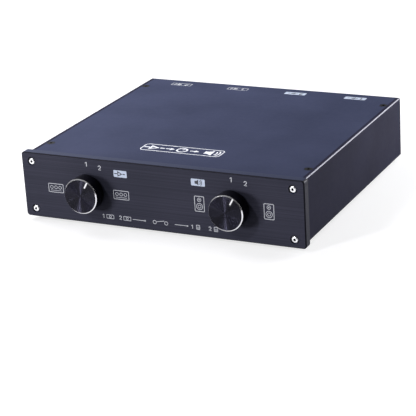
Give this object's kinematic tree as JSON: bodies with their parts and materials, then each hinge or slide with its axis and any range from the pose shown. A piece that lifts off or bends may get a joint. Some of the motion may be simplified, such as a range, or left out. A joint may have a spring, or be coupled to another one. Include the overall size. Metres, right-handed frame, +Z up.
{
  "type": "speaker selector switch",
  "caption": "Flat audio switching box with rotary selectors on its front panel and rows of capped binding posts for amplifier and loudspeaker wires on its rear panel.",
  "frame": {"origin": "on the surface that the feet stand on, under the middle of the whole object from the knobs' faces to the posts' ends", "axes": "+X to the right as seen from the front, +Y to the rear, where the posts are, and +Z up"},
  "size_m": [0.2252, 0.2344, 0.0534],
  "materials": {
    "front_panel": "black anodised, fine horizontal brushing",
    "cover": "satin slate blue-grey coating",
    "side_wall": "satin dark grey coating",
    "rear_panel": "satin dark grey coating with pale print",
    "bright_screw": "bright nickel plate",
    "black_screw": "black oxide",
    "rubber": "matte black",
    "knob": "black anodised, spun face, bright cut bevel",
    "shaft": "turned",
    "switch_board": "brown laminate",
    "switch_metal": "zinc plated",
    "spring": "rolled",
    "contact": "silver plated",
    "post_metal": "nickel plated, turned",
    "red_collar": "moulded, dark red",
    "black_collar": "moulded, black",
    "tag": "tinned",
    "nut": "nickel plated",
    "red_lead": "soft insulation",
    "black_lead": "soft insulation",
    "clear_shell": "clear moulded"
  },
  "bodies": {
    "chassis": {"front_panel": "front_panel", "top_cover": "cover", "bottom_cover": "cover", "left_side": "side_wall", "right_side": "side_wall", "rear_panel": "rear_panel", "front_screws": "bright_screw", "rear_screws": "black_screw", "cover_screws": "black_screw", "feet": "rubber", "switch_frames": "switch_metal", "detent_springs": "spring", "switch_pillars": "switch_metal", "switch_wafers": "switch_board", "switch_contacts": "contact", "post_stems": "post_metal", "red_collars": "red_collar", "black_collars": "black_collar", "post_tags": "tag", "hex_nuts": "nut", "red_leads": "red_lead", "black_leads": "black_lead"},
    "amp_selector": {"amp_knob": "knob", "amp_shaft": "shaft", "amp_rotor": "switch_board"},
    "speaker_selector": {"speaker_knob": "knob", "speaker_shaft": "shaft", "speaker_rotor": "switch_board"},
    "cap_1": {"cap_barrel_1": "post_metal", "cap_shell_1": "clear_shell"},
    "cap_2": {"cap_barrel_2": "post_metal", "cap_shell_2": "clear_shell"},
    "cap_3": {"cap_barrel_3": "post_metal", "cap_shell_3": "clear_shell"},
    "cap_4": {"cap_barrel_4": "post_metal", "cap_shell_4": "clear_shell"},
    "cap_5": {"cap_barrel_5": "post_metal", "cap_shell_5": "clear_shell"},
    "cap_6": {"cap_barrel_6": "post_metal", "cap_shell_6": "clear_shell"},
    "cap_7": {"cap_barrel_7": "post_metal", "cap_shell_7": "clear_shell"},
    "cap_8": {"cap_barrel_8": "post_metal", "cap_shell_8": "clear_shell"},
    "cap_9": {"cap_barrel_9": "post_metal", "cap_shell_9": "clear_shell"},
    "cap_10": {"cap_barrel_10": "post_metal", "cap_shell_10": "clear_shell"},
    "cap_11": {"cap_barrel_11": "post_metal", "cap_shell_11": "clear_shell"},
    "cap_12": {"cap_barrel_12": "post_metal", "cap_shell_12": "clear_shell"},
    "cap_13": {"cap_barrel_13": "post_metal", "cap_shell_13": "clear_shell"},
    "cap_14": {"cap_barrel_14": "post_metal", "cap_shell_14": "clear_shell"},
    "cap_15": {"cap_barrel_15": "post_metal", "cap_shell_15": "clear_shell"},
    "cap_16": {"cap_barrel_16": "post_metal", "cap_shell_16": "clear_shell"}
  },
  "joints": [
    {"name": "amp_turn", "type": "hinge", "parent": "chassis", "child": "amp_selector", "pos_m": [-0.0577, -0.1052, 0.02805], "axis": [0, -1, 0], "range_deg": [0, 30]},
    {"name": "speaker_turn", "type": "hinge", "parent": "chassis", "child": "speaker_selector", "pos_m": [0.0577, -0.1052, 0.02805], "axis": [0, -1, 0], "range_deg": [0, 30]},
    {"name": "cap_1_unscrew", "type": "slide", "parent": "chassis", "child": "cap_1", "axis": [0, 1, 0], "range_m": [0, 0.006]},
    {"name": "cap_2_unscrew", "type": "slide", "parent": "chassis", "child": "cap_2", "axis": [0, 1, 0], "range_m": [0, 0.006]},
    {"name": "cap_3_unscrew", "type": "slide", "parent": "chassis", "child": "cap_3", "axis": [0, 1, 0], "range_m": [0, 0.006]},
    {"name": "cap_4_unscrew", "type": "slide", "parent": "chassis", "child": "cap_4", "axis": [0, 1, 0], "range_m": [0, 0.006]},
    {"name": "cap_5_unscrew", "type": "slide", "parent": "chassis", "child": "cap_5", "axis": [0, 1, 0], "range_m": [0, 0.006]},
    {"name": "cap_6_unscrew", "type": "slide", "parent": "chassis", "child": "cap_6", "axis": [0, 1, 0], "range_m": [0, 0.006]},
    {"name": "cap_7_unscrew", "type": "slide", "parent": "chassis", "child": "cap_7", "axis": [0, 1, 0], "range_m": [0, 0.006]},
    {"name": "cap_8_unscrew", "type": "slide", "parent": "chassis", "child": "cap_8", "axis": [0, 1, 0], "range_m": [0, 0.006]},
    {"name": "cap_9_unscrew", "type": "slide", "parent": "chassis", "child": "cap_9", "axis": [0, 1, 0], "range_m": [0, 0.006]},
    {"name": "cap_10_unscrew", "type": "slide", "parent": "chassis", "child": "cap_10", "axis": [0, 1, 0], "range_m": [0, 0.006]},
    {"name": "cap_11_unscrew", "type": "slide", "parent": "chassis", "child": "cap_11", "axis": [0, 1, 0], "range_m": [0, 0.006]},
    {"name": "cap_12_unscrew", "type": "slide", "parent": "chassis", "child": "cap_12", "axis": [0, 1, 0], "range_m": [0, 0.006]},
    {"name": "cap_13_unscrew", "type": "slide", "parent": "chassis", "child": "cap_13", "axis": [0, 1, 0], "range_m": [0, 0.006]},
    {"name": "cap_14_unscrew", "type": "slide", "parent": "chassis", "child": "cap_14", "axis": [0, 1, 0], "range_m": [0, 0.006]},
    {"name": "cap_15_unscrew", "type": "slide", "parent": "chassis", "child": "cap_15", "axis": [0, 1, 0], "range_m": [0, 0.006]},
    {"name": "cap_16_unscrew", "type": "slide", "parent": "chassis", "child": "cap_16", "axis": [0, 1, 0], "range_m": [0, 0.006]}
  ]
}
